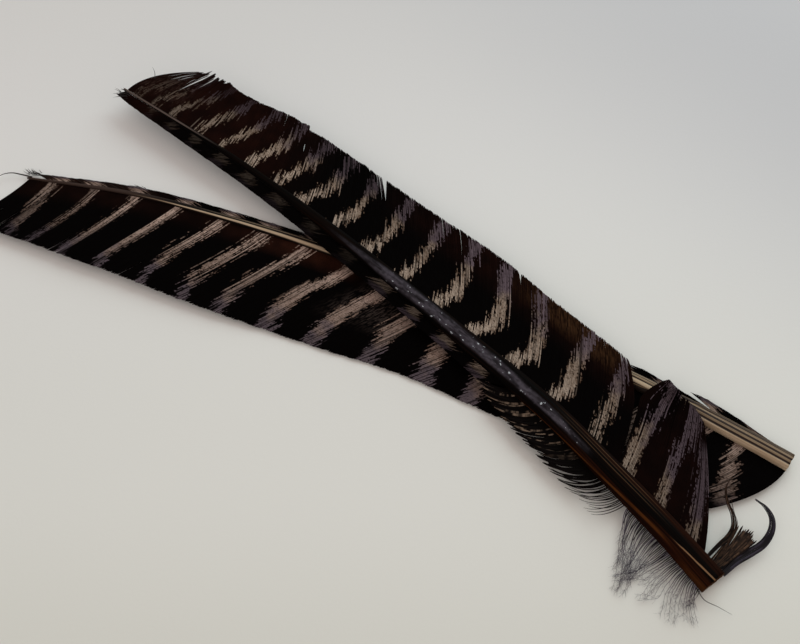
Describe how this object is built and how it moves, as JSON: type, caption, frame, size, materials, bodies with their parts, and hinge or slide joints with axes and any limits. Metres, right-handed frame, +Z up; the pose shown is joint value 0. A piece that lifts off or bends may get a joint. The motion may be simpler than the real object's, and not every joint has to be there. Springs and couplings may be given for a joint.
{
  "type": "barred quill feather pair",
  "caption": "Barred brown-black wing feathers with square-cut quills, lying crossed, the upper one resting loose on the lower, with split and frayed vanes.",
  "frame": {"origin": "on the resting plane, under the centre of the crossed pair's box", "axes": "+X along the pair's long side towards the lower feather's cut end, +Z up"},
  "size_m": [0.2889, 0.2199, 0.0117],
  "materials": {
    "upper_cortex": "satin black-brown horn with a tan ridge line",
    "lower_cortex": "satin cream horn with dark grooves",
    "pith": "matt foam",
    "upper_vane": "soft barbs, barred cream and grey-violet on brown-black",
    "lower_vane": "soft barbs, barred tan and grey on brown-black",
    "down": "fine grey-violet down",
    "loose_barb": "stiff dark unhooked barbs"
  },
  "bodies": {
    "lower_feather": {"lower_shaft": "lower_cortex", "lower_pith": "pith", "lower_vane_base_panel": "lower_vane", "lower_vane_outer_panel": "lower_vane", "lower_narrow_vane": "lower_vane", "lower_narrow_base_flap": "lower_vane"},
    "upper_feather": {"upper_shaft": "upper_cortex", "upper_pith": "pith", "upper_narrow_vane": "upper_vane"},
    "base_lobe": {"upper_vane_base_lobe": "upper_vane"},
    "curled_lobe": {"upper_vane_curled_lobe": "upper_vane"},
    "inner_panel": {"upper_vane_inner_panel": "upper_vane"},
    "middle_panel": {"upper_vane_middle_panel": "upper_vane"},
    "vane_strip": {"upper_vane_strip": "upper_vane"},
    "outer_panel": {"upper_vane_outer_panel": "upper_vane"},
    "tip_panel": {"upper_vane_tip_panel": "upper_vane"},
    "tip_hair": {"lower_tip_hair": "loose_barb"},
    "barb_fringe": {"upper_barb_fringe": "down"},
    "down_tuft": {"upper_down_tuft": "down"},
    "frayed_fan": {"upper_frayed_fan": "loose_barb"},
    "long_strands": {"upper_long_strand": "loose_barb", "upper_short_strand": "loose_barb"},
    "curled_strand": {"upper_curled_strand": "loose_barb"}
  },
  "joints": [
    {"name": "lift_off", "type": "slide", "parent": "lower_feather", "child": "upper_feather", "axis": [0, 0, 1], "range_m": [0, 0.06]},
    {"name": "base_lobe_flex", "type": "hinge", "parent": "upper_feather", "child": "base_lobe", "pos_m": [0.10227, -0.07886, 0.00373], "axis": [0.617, -0.7869, -0.0127], "range_deg": [0, 25], "stiffness_Nm_per_rad": 0.001},
    {"name": "curled_lobe_flex", "type": "hinge", "parent": "upper_feather", "child": "curled_lobe", "pos_m": [0.09012, -0.06374, 0.00401], "axis": [0.6408, -0.7676, -0.0161], "range_deg": [0, 25], "stiffness_Nm_per_rad": 0.001},
    {"name": "inner_panel_flex", "type": "hinge", "parent": "upper_feather", "child": "inner_panel", "pos_m": [0.06886, -0.04011, 0.00449], "axis": [0.6772, -0.7356, -0.0151], "range_deg": [0, 20], "stiffness_Nm_per_rad": 0.001},
    {"name": "middle_panel_flex", "type": "hinge", "parent": "upper_feather", "child": "middle_panel", "pos_m": [0.03396, -0.0051, 0.00521], "axis": [0.7325, -0.6807, -0.014], "range_deg": [0, 20], "stiffness_Nm_per_rad": 0.001},
    {"name": "vane_strip_flex", "type": "hinge", "parent": "upper_feather", "child": "vane_strip", "pos_m": [0.01054, 0.01659, 0.00567], "axis": [0.7379, -0.6748, -0.015], "range_deg": [0, 25], "stiffness_Nm_per_rad": 0.001},
    {"name": "outer_panel_flex", "type": "hinge", "parent": "upper_feather", "child": "outer_panel", "pos_m": [-0.01217, 0.03643, 0.00628], "axis": [0.7572, -0.6528, -0.0218], "range_deg": [0, 20], "stiffness_Nm_per_rad": 0.001},
    {"name": "tip_panel_flex", "type": "hinge", "parent": "upper_feather", "child": "tip_panel", "pos_m": [-0.06287, 0.07607, 0.00768], "axis": [0.8042, -0.5939, -0.0218], "range_deg": [0, 20], "stiffness_Nm_per_rad": 0.001},
    {"name": "barb_fringe_flex", "type": "hinge", "parent": "upper_feather", "child": "barb_fringe", "pos_m": [0.06842, -0.05278, 0.00375], "axis": [-0.6364, 0.7712, 0.0156], "range_deg": [0, 25], "stiffness_Nm_per_rad": 0.0003},
    {"name": "down_tuft_flex", "type": "hinge", "parent": "upper_feather", "child": "down_tuft", "pos_m": [0.09597, -0.08782, 0.00246], "axis": [-0.5924, 0.8056, 0.0091], "range_deg": [0, 25], "stiffness_Nm_per_rad": 0.0003},
    {"name": "frayed_fan_flex", "type": "hinge", "parent": "upper_feather", "child": "frayed_fan", "pos_m": [0.11426, -0.09243, 0.00323], "axis": [0.6632, -0.7406, -0.1079], "range_deg": [0, 25], "stiffness_Nm_per_rad": 0.0003},
    {"name": "long_strands_flex", "type": "hinge", "parent": "upper_feather", "child": "long_strands", "pos_m": [0.11223, -0.09007, 0.00406], "axis": [0.5883, -0.8086, -0.0088], "range_deg": [0, 30], "stiffness_Nm_per_rad": 0.0001},
    {"name": "curled_strand_flex", "type": "hinge", "parent": "upper_feather", "child": "curled_strand", "pos_m": [0.11516, -0.0945, 0.00291], "axis": [0.5911, -0.8065, -0.0093], "range_deg": [0, 30], "stiffness_Nm_per_rad": 0.0001},
    {"name": "tip_hair_flex", "type": "hinge", "parent": "lower_feather", "child": "tip_hair", "pos_m": [-0.13465, 0.06335, 0.00138], "axis": [0.1833, 0.983, 0], "range_deg": [0, 30], "stiffness_Nm_per_rad": 0.00002}
  ]
}
